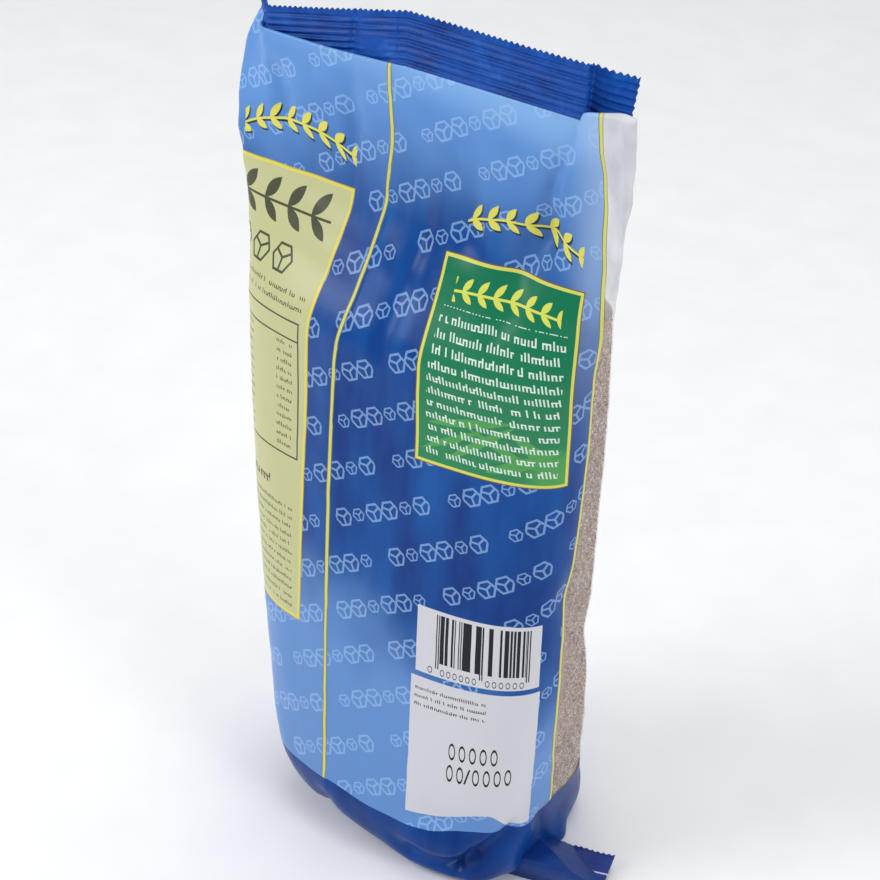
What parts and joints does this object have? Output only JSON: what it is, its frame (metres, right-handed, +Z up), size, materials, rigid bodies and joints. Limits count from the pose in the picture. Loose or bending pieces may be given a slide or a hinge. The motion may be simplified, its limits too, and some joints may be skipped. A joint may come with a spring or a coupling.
{
  "type": "sugar pouch",
  "caption": "Standing plastic film pouch of brown sugar, with a crimped top seal, a lap seam down the back and a clear window at the side.",
  "frame": {"origin": "middle of the pouch's outline seen from above, on the plane it stands on", "axes": "+Z up; the top seal runs roughly along X; the back panel with the lap seam and the bar code faces -Y; the clear window is on the +X side"},
  "size_m": [0.1498, 0.078, 0.2934],
  "materials": {
    "film": "satin printed film"
  },
  "bodies": {
    "root": {"pouch": "film"}
  },
  "joints": []
}
